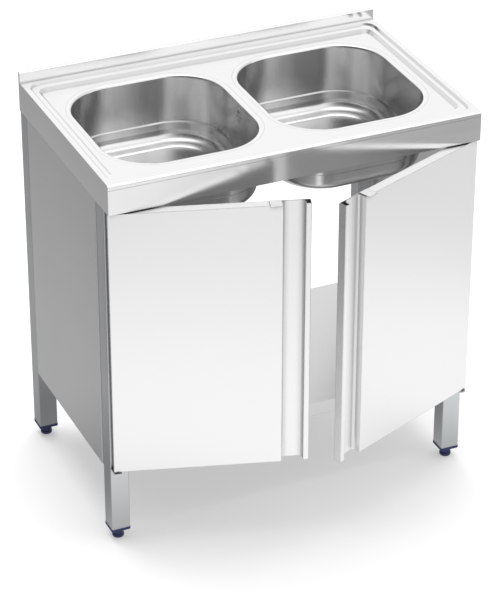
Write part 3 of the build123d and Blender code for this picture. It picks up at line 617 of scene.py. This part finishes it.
class Dresser:
    """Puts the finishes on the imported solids."""

    def __init__(self, nodes: dict[str, bpy.types.Object]) -> None:
        """Build each finish's material once."""
        self.nodes = nodes
        self.materials = {
            entry.name: getattr(Finishes(), entry.name).material() for entry in fields(Finishes)
        }

    def finish_of(self, node: str) -> str:
        """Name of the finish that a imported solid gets."""
        if node.startswith("door_"):
            return DOOR_FINISH[node.split("_")[2]]
        starts = [start for start in FINISH_BY_NODE if node.startswith(start)]
        return FINISH_BY_NODE[max(starts, key=len)]

    def dress(self) -> None:
        """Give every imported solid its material."""
        for name, piece in self.nodes.items():
            piece.data.materials.clear()
            piece.data.materials.append(self.materials[self.finish_of(name)])
            LOG.info("dressed %s with %s", name, self.finish_of(name))


# ---- fittings


@dataclass(frozen=True)
class Thread:
    """Screw thread between two heights, in millimetres."""

    root: float
    crest: float
    pitch: float
    low: float
    high: float
    rings: int = 8
    flank: float = 1.5

    def radius_at(self, angle: float, height: float, radius: float) -> float:
        """Radius at an angle: flank, crest or root, and the plain radius outside the thread."""
        if not self.low <= height <= self.high:
            return radius
        turn = (height / self.pitch - angle / math.tau) % 1.0
        rise = min(1.0, self.flank * (1.0 - abs(2.0 * turn - 1.0)))
        fade = min(1.0, (height - self.low) / self.pitch, (self.high - height) / self.pitch)
        return self.root + (self.crest - self.root) * rise * fade

    def outline(self) -> Outline:
        """Radius and height of each of the thread's rings."""
        count = round((self.high - self.low) / self.pitch * self.rings)
        step = (self.high - self.low) / count
        return [(self.root, self.low + step * i) for i in range(count + 1)]


class Shape:
    """Mesh of one small fitting, skinned from rings of points in millimetres."""

    def __init__(self) -> None:
        """Start an empty mesh."""
        self.mesh = bmesh.new()

    def turned(self, outline: Outline, place: Matrix, steps: int,
               radius_at: RadiusAt | None = None, closed: bool = False) -> None:
        """Turn an outline round the local z axis.

        Args:
            outline: radius and height of each ring.
            place: where the local frame stands.
            steps: points round each ring.
            radius_at: gives the radius at an angle, a height and a plain radius.
            closed: whether the last ring joins the first, as in a hollow piece.
        """
        rings = []
        for radius, height in outline:
            ring = []
            for step in range(steps):
                angle = math.tau * step / steps
                reach = radius_at(angle, height, radius) if radius_at else radius
                spot = Vector((reach * math.cos(angle), reach * math.sin(angle), height))
                ring.append(self.mesh.verts.new((place @ spot) * MM))
            rings.append(ring)
        for lower, upper in zip(rings, rings[1:] + (rings[:1] if closed else [])):
            for step in range(steps):
                after = (step + 1) % steps
                self.mesh.faces.new((lower[step], lower[after], upper[after], upper[step]))
        if not closed:
            self.mesh.faces.new(rings[0][::-1])
            self.mesh.faces.new(rings[-1])

    def block(self, low: Point, high: Point, edge: float) -> None:
        """Add a box with rounded edges between two corners."""
        made = bmesh.ops.create_cube(self.mesh, size=1.0)["verts"]
        for vert in made:
            spot = [low[k] + (vert.co[k] + 0.5) * (high[k] - low[k]) for k in range(3)]
            vert.co = Vector(spot) * MM
        edges = list({edge_of for vert in made for edge_of in vert.link_edges})
        bmesh.ops.bevel(
            self.mesh, geom=edges, offset=edge * MM, segments=2, affect="EDGES", profile=0.5
        )

    def finish(self, name: str, finish: Material, body: str, *replaced: str) -> None:
        """Turn the mesh into a piece of the unit.

        Args:
            name: name of the piece.
            finish: its material, named after the record's slot.
            body: the body that it rides on.
            replaced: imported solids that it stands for.
        """
        bmesh.ops.recalc_face_normals(self.mesh, faces=self.mesh.faces)
        data = bpy.data.meshes.new(name)
        self.mesh.to_mesh(data)
        self.mesh.free()
        data.shade_smooth()
        data.set_sharp_from_angle(angle=SHARP_ANGLE)
        data.materials.append(finish)
        piece = bpy.data.objects.new(name, data)
        bpy.context.scene.collection.objects.link(piece)
        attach(piece, body)
        if replaced:
            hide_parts(*replaced)
        LOG.info("built %s on %s", name, body)


def centre(node: str) -> tuple[float, float]:
    """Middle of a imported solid's box in plan, in millimetres."""
    low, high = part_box(node)
    return (low[0] + high[0]) / 2 / MM, (low[1] + high[1]) / 2 / MM


@dataclass(frozen=True)
class ScrewFoot:
    """Moulded screw foot: dished base, hexagonal grip, neck and threaded stem."""

    base_r: float = 12.3
    base_h: float = 8.0
    grip_r: float = 10.7
    grip_top: float = 19.0
    neck_r: float = 8.0
    grip_cut: float = 1.115
    neck_top: float = 22.2
    stem: Thread = Thread(root=4.45, crest=5.0, pitch=1.5, low=23.2, high=63.7, rings=6)
    stem_top: float = 64.5

    def radius_at(self, angle: float, height: float, radius: float) -> float:
        """Radius at an angle: rounded hexagon at the grip, thread on the stem."""
        if self.base_h < height <= self.grip_top:
            turn = angle % (math.pi / 3) - math.pi / 6
            return min(radius / math.cos(turn), radius * self.grip_cut)
        return self.stem.radius_at(angle, height, radius)

    def build(self, corner: str, material: Material) -> None:
        """Build the foot of one corner, such as front_left."""
        x, y = centre(f"foot_{corner}")
        base, grip, neck, stem = self.base_r, self.grip_r, self.neck_r, self.stem.root
        outline = [
            (base - 6.0, 0.8), (base - 3.6, 0.7), (base - 3.2, 0.0), (base - 2.4, 0.0),
            (base - 1.0, 0.8), (base - 0.2, 2.0), (base, 2.8), (base, 7.0), (base - 0.3, 7.7),
            (base - 1.0, self.base_h), (grip - 0.6, self.base_h + 0.01),
            (grip, self.base_h + 0.6), (grip, self.grip_top - 0.9), (grip - 0.8, self.grip_top),
            (neck + 0.3, self.grip_top + 0.01), (neck, self.grip_top + 0.4),
            (neck, self.neck_top - 0.4), (neck - 0.4, self.neck_top),
            (stem + 0.1, self.neck_top + 0.01), *self.stem.outline(),
            (stem, self.stem_top - 0.5), (stem - 0.5, self.stem_top),
        ]
        shape = Shape()
        shape.turned(outline, Matrix.Translation((x, y, 0)), steps=72, radius_at=self.radius_at)
        shape.finish(f"screw_foot_{corner}", material, f"foot_{corner}", f"foot_{corner}")


@dataclass(frozen=True)
class OutletBody:
    """Moulded outlet body: flange on gussets, cup, threaded tail, inlet, cross bar and boss."""

    tail: Thread = Thread(root=22.6, crest=23.9, pitch=2.309, low=613.0, high=631.0)
    tail_end: float = 612.0
    bore_r: float = 20.9
    bore_top: float = 633.8
    cup_r: float = 36.0
    cup_z: float = 640.0
    wall: float = 3.0
    flange_r: float = 42.0
    flange_z: float = 670.0
    top_z: float = 674.0
    inlet_z: float = 652.0
    inlet_r: float = 8.0
    inlet_bore_r: float = 6.0
    inlet_reach: float = 48.0
    inlet_sunk: float = 2.4
    bar_z: float = 655.0
    bar_half: float = 4.0
    bar_sunk: float = 1.5
    boss_r: float = 6.0
    boss_bore_r: float = 3.1
    boss_top: float = 668.7
    gussets: int = 8
    gusset_z: float = 654.0
    gusset_reach: float = 4.5
    gusset_half: float = 0.06

    def radius_at(self, angle: float, height: float, radius: float) -> float:
        """Radius at an angle: thread on the tail, gussets under the flange."""
        if self.gusset_z < height < self.flange_z - 0.5 and radius >= self.cup_r:
            beat = angle * self.gussets / math.tau % 1.0
            lean = (height - self.gusset_z) / (self.flange_z - self.gusset_z)
            between = self.gusset_half <= beat <= 1.0 - self.gusset_half
            return radius if between else radius + self.gusset_reach * lean
        if radius < self.bore_r + 1.0:
            return radius
        return self.tail.radius_at(angle, height, radius)

    def inlet_frame(self, side: str) -> Matrix:
        """Frame of one side's inlet, with its z axis along the pipe."""
        place = Matrix.Translation((*centre(f"waste_gasket_{side}"), self.inlet_z))
        return place @ Matrix.Rotation(math.pi / 2 * (1 if side == "left" else -1), 4, "Y")

    def cup(self) -> Outline:
        """Radius and height of each ring of the tail, cup and flange, back down to the bore."""
        cup, flange, bore, inside = self.cup_r, self.flange_r, self.bore_r, self.cup_r - self.wall
        return [
            (bore + 0.6, self.tail_end), (self.tail.root - 0.2, self.tail_end),
            *self.tail.outline(), (self.tail.root, self.tail.high + 1.0),
            (cup - 1.5, self.cup_z - 0.9), (cup - 0.3, self.cup_z + 0.3), (cup, self.cup_z + 1.5),
            (cup, self.gusset_z), (cup, self.gusset_z + 0.1), (cup, self.flange_z - 1.1),
            (cup, self.flange_z - 0.4), (flange - 0.5, self.flange_z),
            (flange, self.flange_z + 0.5), (flange, self.top_z - 0.5),
            (flange - 0.5, self.top_z), (inside, self.top_z), (inside, self.cup_z + 1.6),
            (inside - 1.0, self.cup_z + 0.9), (bore, self.bore_top), (bore, self.tail_end + 0.6),
        ]

    def build(self, side: str, material: Material) -> None:
        """Build the body under one bowl, the left or the right."""
        x, y = centre(f"waste_gasket_{side}")
        upright = Matrix.Translation((x, y, 0))
        shape = Shape()
        shape.turned(self.cup(), upright, steps=96, radius_at=self.radius_at, closed=True)
        inner, end = self.cup_r - self.inlet_sunk, self.inlet_reach
        outer, bore = self.inlet_r, self.inlet_bore_r
        tube = [(outer, inner), (outer, end - 0.4), (outer - 0.4, end), (bore + 0.3, end),
                (bore, end - 0.4), (bore, inner)]
        shape.turned(tube, self.inlet_frame(side), steps=40, closed=True)
        half, reach, low = self.bar_half, self.cup_r - self.bar_sunk, self.bar_z
        shape.block((x - half, y - reach, low), (x + half, y + reach, low + 2 * half), edge=0.8)
        outer, bore, top = self.boss_r, self.boss_bore_r, self.boss_top
        boss = [(outer, low), (outer, top - 0.5), (outer - 0.5, top), (bore + 0.3, top),
                (bore, top - 0.4), (bore, low)]
        shape.turned(boss, upright, steps=32, closed=True)
        shape.finish(f"outlet_body_{side}", material, "cabinet", f"waste_body_{side}")


@dataclass(frozen=True)
class PipeNut:
    """Ribbed union nut that clamps the overflow pipe to the outlet's inlet."""

    bore_r: float = 8.05
    body_r: float = 10.4
    start: float = 40.2
    length: float = 16.0
    ribs: int = 14
    rise: float = 0.6

    def radius_at(self, angle: float, _height: float, radius: float) -> float:
        """Radius at an angle, with the grip ribs on the outside."""
        if radius < self.body_r:
            return radius
        return radius + self.rise * max(0.0, math.cos(angle * self.ribs))

    def build(self, side: str, material: Material) -> None:
        """Build the nut of one side's overflow pipe."""
        low, high, body, bore = self.start, self.start + self.length, self.body_r, self.bore_r
        outline = [
            (bore, low + 0.4), (bore + 0.4, low), (body - 0.9, low), (body - 0.1, low + 0.8),
            (body, low + 1.0), (body, high - 4.0), (body - 0.2, high - 3.4),
            (body - 1.4, high - 1.0), (body - 1.7, high), (bore + 0.2, high), (bore, high - 0.3),
        ]
        shape = Shape()
        place = OutletBody().inlet_frame(side)
        shape.turned(outline, place, steps=112, radius_at=self.radius_at, closed=True)
        shape.finish(f"pipe_nut_{side}", material, "cabinet")


@dataclass(frozen=True)
class CrimpRing:
    """Clamping ring at the top of an overflow pipe, with a closed ear."""

    bore_r: float = 8.04
    outer_r: float = 8.5
    low: float = 755.0
    high: float = 760.0
    pipe_x: float = 9.7
    ear_half: float = 2.2
    ear_reach: float = 10.6

    def build(self, side: str, material: Material) -> None:
        """Build the ring of one side's overflow pipe."""
        _, y = centre(f"waste_gasket_{side}")
        x = -self.pipe_x if side == "left" else self.pipe_x
        low, high, bore, outer = self.low, self.high, self.bore_r, self.outer_r
        outline = [
            (bore, low), (outer, low), (outer, low + 0.6), (outer - 0.15, low + 1.0),
            (outer - 0.15, high - 1.0), (outer, high - 0.6), (outer, high), (bore, high),
        ]
        shape = Shape()
        shape.turned(outline, Matrix.Translation((x, y, 0)), steps=64, closed=True)
        shape.block((x - self.ear_half, y + 8.0, low + 0.8),
                    (x + self.ear_half, y + self.ear_reach, high - 0.8), edge=0.6)
        shape.finish(f"crimp_ring_{side}", material, "cabinet")


@dataclass(frozen=True)
class WeldBead:
    """Rippled weld bead along a straight seam."""

    radius: float = 1.5
    ripple: float = 0.25
    pitch: float = 1.7
    rings: int = 5
    taper: int = 3
    tip: float = 0.25

    def run(self, shape: Shape, start: Point, end: Point) -> None:
        """Add one bead from its start to its end, in millimetres."""
        first, last = Vector(start), Vector(end)
        length = (last - first).length
        count = round(length / self.pitch * self.rings)
        outline = [(self.tip, 0.0)]
        for step in range(1, count):
            height = length * step / count
            taper = min(1.0, step / self.taper, (count - step) / self.taper)
            wave = self.ripple * abs(math.sin(math.pi * height / self.pitch))
            outline.append(((self.radius - wave) * taper, height))
        outline.append((self.tip, length))
        turn = (last - first).to_track_quat("Z", "Y").to_matrix().to_4x4()
        shape.turned(outline, Matrix.Translation(first) @ turn, steps=12)


@dataclass(frozen=True)
class FrameWelds:
    """Beads round the rail ends and under the hinge plates."""

    leg_x: float = 359.0
    low_z: float = 799.0
    high_z: float = 828.0
    side_gap: float = 1.0
    plate_inset: float = 2.0
    bead: WeldBead = WeldBead()

    def rail_ends(self, shape: Shape, rail: str) -> None:
        """Add the beads at both ends of a cross rail."""
        low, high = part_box(rail)
        front, back = low[1] / MM, high[1] / MM
        for x in (-self.leg_x, self.leg_x):
            for y in (front, back):
                self.bead.run(shape, (x, y, self.low_z), (x, y, self.high_z))
            self.bead.run(shape, (x, front, self.low_z), (x, back, self.low_z))

    def side_ends(self, shape: Shape, side: str) -> None:
        """Add the beads at both ends of a side rail."""
        low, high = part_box(f"rail_{side}")
        inner, outer = sorted((low[0] / MM, high[0] / MM), key=abs)
        inner = math.copysign(self.leg_x + self.side_gap, inner)
        for y in (low[1] / MM, high[1] / MM):
            self.bead.run(shape, (outer, y, self.low_z), (outer, y, self.high_z))
            self.bead.run(shape, (inner, y, self.low_z), (outer, y, self.low_z))

    def build(self, material: Material) -> None:
        """Build all beads as one piece of the frame's steel."""
        shape = Shape()
        for rail in ("rail_front", "rail_rear"):
            self.rail_ends(shape, rail)
        for side in ("left", "right"):
            self.side_ends(shape, side)
            low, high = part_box(f"hinge_bracket_bottom_{side}")
            y, z = high[1] / MM, low[2] / MM
            start, end = low[0] / MM + self.plate_inset, high[0] / MM - self.plate_inset
            self.bead.run(shape, (start, y, z), (end, y, z))
        shape.finish("frame_welds", material, "cabinet")


@dataclass(frozen=True)
class CatchMagnet:
    """Two steel pole strips on the face of a magnetic catch."""

    width: float = 19.0
    thick: float = 1.1
    spread: float = 2.6
    proud: float = 0.1
    sunk: float = 2.0

    def build(self, side: str, material: Material) -> None:
        """Build the strips of one side's catch."""
        low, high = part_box(f"catch_{side}")
        x, z = ((low[k] + high[k]) / 2 / MM for k in (0, 2))
        face, half, thick = low[1] / MM, self.width / 2, self.thick / 2
        shape = Shape()
        for height in (z - self.spread, z + self.spread):
            shape.block((x - half, face - self.proud, height - thick),
                        (x + half, face + self.sunk, height + thick), edge=0.05)
        shape.finish(f"catch_poles_{side}", material, "cabinet")


@dataclass(frozen=True)
class Fittings:
    """Every small fitting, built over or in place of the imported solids."""

    foot: ScrewFoot = ScrewFoot()
    outlet: OutletBody = OutletBody()
    nut: PipeNut = PipeNut()
    ring: CrimpRing = CrimpRing()
    poles: CatchMagnet = CatchMagnet()
    welds: FrameWelds = FrameWelds()

    def build(self, materials: dict[str, Material]) -> None:
        """Build the fittings in their finishes."""
        for corner in ("front_left", "front_right", "rear_left", "rear_right"):
            self.foot.build(corner, materials["cap"])
        for side in ("left", "right"):
            self.outlet.build(side, materials["outlet"])
            self.nut.build(side, materials["outlet"])
            self.ring.build(side, materials["fixing"])
            self.poles.build(side, materials["fixing"])
        self.welds.build(materials["leg"])


# ---- floor, light and camera


@dataclass(frozen=True)
class SoftBox:
    """Broad soft panel of the room, or a dark screen where its strength is below zero."""

    towards: Point
    core: float
    rim: float
    strength: float

    def glow(self, graph: Graph, way: Socket) -> Socket:
        """Add the panel to a world tree and return how much it shines along a direction."""
        facing = graph.vector("DOT_PRODUCT", way, Vector(self.towards).normalized())
        return graph.span(facing, self.rim, self.core, 0.0, self.strength, smooth=True)


@dataclass(frozen=True)
class MirroredFloor:
    """Brightness of the floor as the steel mirrors it: a painted glow that only reflections see,
    with painted shade near the cabinet and darker towards the sides and the front right.

    Each span gives two places along x or y, in metres, and the brightness at each. The front
    one ends at the cabinet's brightness, and a span without any goes from 0 to 1.
    """

    cabinet_x: Span = (-0.50, -0.38, 0.41, 0.32)
    cabinet_y: Span = (0.0, 0.45, 0.60, 1.20)
    front_y: Span = (-0.60, 0.20, 1.22)
    beside_y: Span = (-0.30, 0.55, 1.18, 0.42)
    beside_x: Span = (0.42, 0.60)
    left_x: Span = (-1.3, -0.7, 0.55, 1.0)
    right_x: Span = (0.9, 1.5, 1.0, 0.80)
    corner_x: Span = (0.25, 0.80, 0.15, 0.58)
    corner_y: Span = (-0.95, -1.45)

    def strength(self, graph: Graph) -> Socket:
        """Add the brightness to a material and return it."""
        place = graph.parts(graph.add("NewGeometry").outputs["Position"])
        x, y = place["X"], place["Y"]
        cabinet = graph.product(graph.ramp(x, self.cabinet_x), graph.ramp(y, self.cabinet_y))
        middle = graph.span(y, *self.front_y, cabinet, smooth=True)
        beside = graph.ramp(y, self.beside_y)
        shift = graph.ramp(x, self.beside_x)
        depth = graph.maths("MULTIPLY_ADD", graph.maths("SUBTRACT", beside, middle), shift, middle)
        sides = graph.product(graph.ramp(x, self.left_x), graph.ramp(x, self.right_x))
        corner = graph.product(graph.ramp(x, self.corner_x), graph.ramp(y, self.corner_y))
        bright = graph.product(depth, sides)
        return graph.product(bright, graph.maths("SUBTRACT", 1.0, corner))


@dataclass(frozen=True)
class Studio:
    """Plain pale floor, soft light and the camera at the photograph's angle."""

    floor_half: float = 14.0
    floor_tone: float = 0.62
    floor_glow: float = 0.36
    mirrored: MirroredFloor = MirroredFloor()
    level: float = 0.92
    darkest: float = 0.05
    boxes: tuple[SoftBox, ...] = (
        SoftBox((0.52, -0.81, 0.27), 0.985, 0.60, 0.50),
        SoftBox((0.05, 0.95, 0.28), 0.98, 0.50, 0.22),
        SoftBox((-0.88, -0.44, 0.18), 0.96, 0.10, -0.80),
        SoftBox((0.0, 0.1, 1.0), 0.97, 0.84, 1.10),
    )
    lamp_place: Point = (-0.1, 0.6, 3.3)
    lamp_aim: Point = (0.0, 0.0, 0.3)
    lamp_size: float = 2.8
    lamp_power: float = 75.0
    eye: Point = (-2.000683, -4.457149, 3.234299)
    yaw: float = 0.4172
    pitch: float = 0.5255
    roll: float = 0.0017
    lens: float = 195.84
    sensor: float = 36.0
    view_end: float = 100.0

    def floor_paint(self) -> Material:
        """Build the floor's material: matt and glowing, with its own painted brightness and shade
        when mirrored.
        """
        material = bpy.data.materials.new("floor_paint")
        graph = emptied(material)
        matt = graph.add("BsdfDiffuse", Color=(*grey(self.floor_tone), 1))
        glow = graph.add("Emission", Color=(1, 1, 1, 1), Strength=self.floor_glow)
        seen = graph.add("AddShader")
        graph.feed(seen.inputs[0], matt.outputs[0])
        graph.feed(seen.inputs[1], glow.outputs[0])
        # painted reflection: glossy rays see this glow, shaped with painted shade, in place of the
        # lit floor
        mirrored = graph.add("Emission", Color=(1, 1, 1, 1))
        graph.feed(mirrored.inputs["Strength"], self.mirrored.strength(graph))
        mix = graph.add("MixShader")
        graph.feed(mix.inputs[0], graph.add("LightPath").outputs["Is Glossy Ray"])
        graph.feed(mix.inputs[1], seen.outputs[0])
        graph.feed(mix.inputs[2], mirrored.outputs[0])
        graph.feed(graph.add("OutputMaterial").inputs["Surface"], mix.outputs[0])
        return material

    def floor(self) -> None:
        """Lay the floor, white to the camera and with the unit's soft shadow on it."""
        half = self.floor_half
        mesh = bpy.data.meshes.new("floor")
        corners = [(-half, -half, 0), (half, -half, 0), (half, half, 0), (-half, half, 0)]
        mesh.from_pydata(corners, [], [(0, 1, 2, 3)])
        mesh.materials.append(self.floor_paint())
        floor = bpy.data.objects.new("floor", mesh)
        bpy.context.scene.collection.objects.link(floor)

    def world(self) -> None:
        """Light the room with broad soft panels, white where the camera sees it."""
        world = bpy.data.worlds.new("room")
        bpy.context.scene.world = world
        graph = emptied(world)
        way = graph.add("TexCoord").outputs["Generated"]
        light = self.level
        for box in self.boxes:
            light = graph.maths("ADD", light, box.glow(graph, way))
        strength = graph.add("Mix", data_type="FLOAT")
        graph.feed(strength.inputs[0], graph.add("LightPath").outputs["Is Camera Ray"])
        low, high = MIX_VALUES
        graph.feed(strength.inputs[low], graph.maths("MAXIMUM", light, self.darkest))
        strength.inputs[high].default_value = 1.0
        sky = graph.add("Background", Color=(1, 1, 1, 1))
        graph.feed(sky.inputs["Strength"], strength.outputs[0])
        graph.feed(graph.add("OutputWorld").inputs["Surface"], sky.outputs[0])

    def lamp(self) -> None:
        """Hang a soft square lamp that lights matt surfaces and isn't mirrored in the steel."""
        light = bpy.data.lights.new("top_lamp", "AREA")
        light.shape = "SQUARE"
        light.size = self.lamp_size
        light.energy = self.lamp_power
        lamp = bpy.data.objects.new("top_lamp", light)
        lamp.location = self.lamp_place
        lamp.rotation_mode = "QUATERNION"
        facing = Vector(self.lamp_aim) - Vector(self.lamp_place)
        lamp.rotation_quaternion = facing.to_track_quat("-Z", "Y")
        lamp.visible_glossy = False
        bpy.context.scene.collection.objects.link(lamp)

    def camera(self) -> None:
        """Set the camera by its place and its three turns."""
        forward = Vector((
            math.sin(self.yaw) * math.cos(self.pitch),
            math.cos(self.yaw) * math.cos(self.pitch),
            -math.sin(self.pitch),
        ))
        level = Vector((math.cos(self.yaw), -math.sin(self.yaw), 0))
        upright = level.cross(forward)
        right = level * math.cos(self.roll) + upright * math.sin(self.roll)
        up = right.cross(forward)
        turned = Matrix((right, up, -forward)).transposed().to_4x4()
        data = bpy.data.cameras.new("camera")
        data.sensor_fit = "HORIZONTAL"
        data.sensor_width = self.sensor
        data.lens = self.lens
        data.clip_end = self.view_end
        camera = bpy.data.objects.new("camera", data)
        camera.matrix_world = Matrix.Translation(self.eye) @ turned
        bpy.context.scene.collection.objects.link(camera)
        bpy.context.scene.camera = camera

    def build(self) -> None:
        """Set up the whole studio."""
        self.floor()
        self.world()
        self.lamp()
        self.camera()
        bpy.context.scene.view_settings.view_transform = "Standard"


def main() -> None:
    """Dress the solids, add the fittings and set up the studio."""
    logging.basicConfig(level=logging.INFO, format="%(message)s")
    dresser = Dresser(frame["nodes"])
    dresser.dress()
    Fittings().build(dresser.materials)
    Studio().build()


if __name__ == "__main__":
    main()
